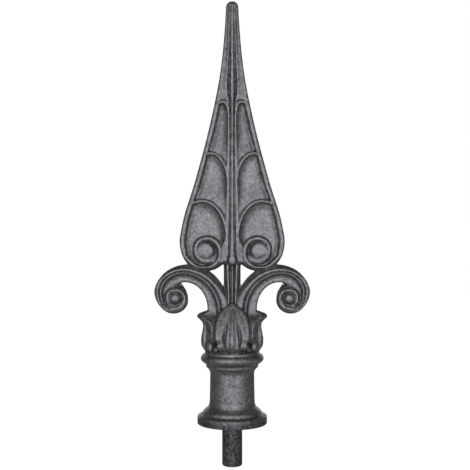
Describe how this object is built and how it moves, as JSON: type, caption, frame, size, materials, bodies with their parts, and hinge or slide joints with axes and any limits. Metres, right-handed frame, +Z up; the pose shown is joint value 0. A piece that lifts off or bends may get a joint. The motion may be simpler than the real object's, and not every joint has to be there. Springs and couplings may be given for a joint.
{
  "type": "fence spear finial",
  "caption": "Cast-iron fence spear finial: leaf-shaped blade with arched relief above side scrolls, a leafy collar, a round column and foot, and a plain spigot below.",
  "frame": {"origin": "on the axis at the shoulder, the flat underside of the round foot, where the finial sits on its post; the spigot is below it", "axes": "+Z up along the axis to the tip, X across the blade and scrolls, Y through the thin way of the blade with its front at -Y"},
  "size_m": [0.1218, 0.055, 0.3631],
  "materials": {
    "cast_iron": "bare grey cast iron with a fine sand-cast skin, darker in the hollows"
  },
  "bodies": {
    "root": {"spear_finial_casting": "cast_iron"}
  },
  "joints": []
}
